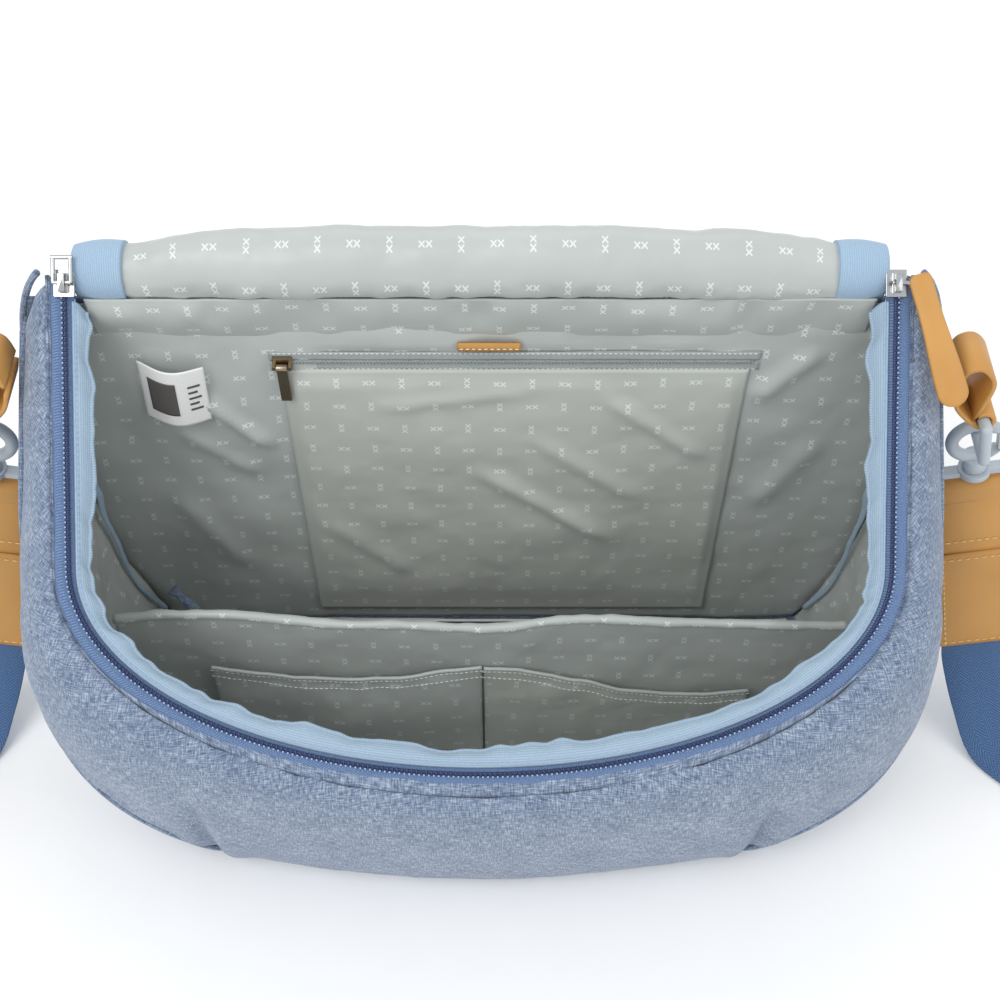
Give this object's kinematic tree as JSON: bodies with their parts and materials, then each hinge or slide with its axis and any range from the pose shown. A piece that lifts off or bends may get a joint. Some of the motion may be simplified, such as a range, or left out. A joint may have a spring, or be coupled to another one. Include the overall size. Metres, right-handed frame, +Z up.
{
  "type": "diaper bag",
  "caption": "Soft D-shaped changing bag standing upright, lid unzipped and thrown back, satin lined with divider and pockets, snap hooks and a webbing strap.",
  "frame": {"origin": "centre of the base on the floor", "axes": "+X to the bag's right seen from its front, +Y toward the rear wall, +Z up"},
  "size_m": [0.792, 0.2927, 0.318],
  "materials": {
    "melange_cloth": "blue melange canvas weave",
    "satin_lining": "grey satin",
    "binding_tape": "pale blue woven binding",
    "zip_tape": "blue herringbone tape",
    "zip_coil": "navy nylon coil",
    "grey_tape": "grey zip tape and coil",
    "leather": "tan smooth leather",
    "grey_plastic": "moulded grey acetal",
    "steel": "nickel plated",
    "bronze": "aged nickel",
    "webbing": "steel blue webbing",
    "foam": "foam",
    "board": "stiffener board",
    "label_cloth": "printed satin label"
  },
  "bodies": {
    "bag": {"front_panel": "melange_cloth", "gusset_left": "melange_cloth", "gusset_right": "melange_cloth", "back_panel": "melange_cloth", "base_panel": "melange_cloth", "base_board": "board", "side_pocket_left": "melange_cloth", "side_pocket_right": "melange_cloth", "wrap_lining": "satin_lining", "back_lining": "satin_lining", "base_lining": "satin_lining", "mouth_binding": "binding_tape", "body_zip_tape": "zip_tape", "body_zip_teeth": "zip_coil", "hinge_roll": "satin_lining", "hinge_binding": "binding_tape", "divider": "satin_lining", "organiser_pocket_left": "satin_lining", "organiser_pocket_right": "satin_lining", "zip_pocket_patch": "satin_lining", "inner_zip_tape": "grey_tape", "leather_label": "leather", "care_label": "label_cloth", "leather_loop_left": "leather", "leather_loop_right": "leather", "webbing_strap": "webbing"},
    "lid": {"lid_shell": "melange_cloth", "lid_padding": "foam", "lid_lining": "satin_lining", "lid_zip_tape": "zip_tape", "lid_zip_teeth": "zip_coil"},
    "slider_left": {"slider_left": "steel"},
    "pull_left": {"pull_ring_left": "steel"},
    "slider_right": {"slider_right": "steel"},
    "puller_right": {"leather_puller": "leather"},
    "inner_slider": {"inner_zip_slider": "bronze"},
    "inner_pull": {"inner_zip_pull": "bronze"},
    "ring_left": {"plastic_ring_left": "grey_plastic"},
    "hook_left": {"snap_hook_left": "grey_plastic"},
    "gate_left": {"hook_gate_left": "grey_plastic"},
    "swivel_left": {"swivel_bar_left": "grey_plastic"},
    "tab_left": {"leather_tab_left": "leather"},
    "ring_right": {"plastic_ring_right": "grey_plastic"},
    "hook_right": {"snap_hook_right": "grey_plastic"},
    "gate_right": {"hook_gate_right": "grey_plastic"},
    "swivel_right": {"swivel_bar_right": "grey_plastic"},
    "tab_right": {"leather_tab_right": "leather"}
  },
  "joints": [
    {"name": "lid_swing", "type": "hinge", "parent": "bag", "child": "lid", "pos_m": [0, 0.091, 0.312], "axis": [1, 0, 0], "range_deg": [0, 307.65]},
    {"name": "zip_slide_left", "type": "slide", "parent": "bag", "child": "slider_left", "axis": [0, -0.7544, -0.6564], "range_m": [0, 0.125]},
    {"name": "zip_slide_right", "type": "slide", "parent": "bag", "child": "slider_right", "axis": [0, -0.7544, -0.6564], "range_m": [0, 0.125]},
    {"name": "pull_flip_left", "type": "hinge", "parent": "slider_left", "child": "pull_left", "pos_m": [-0.2, 0.07506, 0.30609], "axis": [1, 0, 0], "range_deg": [0, 150]},
    {"name": "puller_flip_right", "type": "hinge", "parent": "slider_right", "child": "puller_right", "pos_m": [0.2, 0.07506, 0.30609], "axis": [-1, 0, 0], "range_deg": [0, 150]},
    {"name": "inner_zip_slide", "type": "slide", "parent": "bag", "child": "inner_slider", "axis": [1, 0, 0], "range_m": [0, 0.224]},
    {"name": "inner_pull_flip", "type": "hinge", "parent": "inner_slider", "child": "inner_pull", "pos_m": [-0.102, 0.0755, 0.246], "axis": [-1, 0, 0], "range_deg": [0, 110]},
    {"name": "ring_swing_left", "type": "hinge", "parent": "bag", "child": "ring_left", "pos_m": [-0.252, 0.057, 0.24], "axis": [0, 1, 0], "range_deg": [0, 80], "deforming": ["webbing_strap"]},
    {"name": "hook_swing_left", "type": "hinge", "parent": "ring_left", "child": "hook_left", "pos_m": [-0.25699, 0.057, 0.21652], "axis": [0, 1, 0], "range_deg": [0, 70], "deforming": ["webbing_strap"]},
    {"name": "gate_left", "type": "hinge", "parent": "hook_left", "child": "gate_left", "pos_m": [-0.27168, 0.057, 0.20703], "axis": [0, 1, 0], "range_deg": [0, 20], "stiffness_Nm_per_rad": 0.02, "springref_deg": -14.32},
    {"name": "hook_swivel_left", "type": "hinge", "parent": "hook_left", "child": "swivel_left", "pos_m": [-0.26261, 0.057, 0.19007], "axis": [-0.2079, 0, -0.9781], "continuous": true, "deforming": ["webbing_strap"]},
    {"name": "tab_swing_left", "type": "hinge", "parent": "swivel_left", "child": "tab_left", "pos_m": [-0.26559, 0.057, 0.17608], "axis": [0.9781, 0, -0.2079], "range_deg": [-3, 60], "deforming": ["webbing_strap"]},
    {"name": "ring_swing_right", "type": "hinge", "parent": "bag", "child": "ring_right", "pos_m": [0.252, 0.057, 0.24], "axis": [0, -1, 0], "range_deg": [0, 80], "deforming": ["webbing_strap"]},
    {"name": "hook_swing_right", "type": "hinge", "parent": "ring_right", "child": "hook_right", "pos_m": [0.25699, 0.057, 0.21652], "axis": [0, -1, 0], "range_deg": [0, 70], "deforming": ["webbing_strap"]},
    {"name": "gate_right", "type": "hinge", "parent": "hook_right", "child": "gate_right", "pos_m": [0.27168, 0.057, 0.20703], "axis": [0, -1, 0], "range_deg": [0, 20], "stiffness_Nm_per_rad": 0.02, "springref_deg": -14.32},
    {"name": "hook_swivel_right", "type": "hinge", "parent": "hook_right", "child": "swivel_right", "pos_m": [0.26261, 0.057, 0.19007], "axis": [0.2079, 0, -0.9781], "continuous": true, "deforming": ["webbing_strap"]},
    {"name": "tab_swing_right", "type": "hinge", "parent": "swivel_right", "child": "tab_right", "pos_m": [0.26559, 0.057, 0.17608], "axis": [0.9781, 0, 0.2079], "range_deg": [-3, 60], "deforming": ["webbing_strap"]}
  ]
}
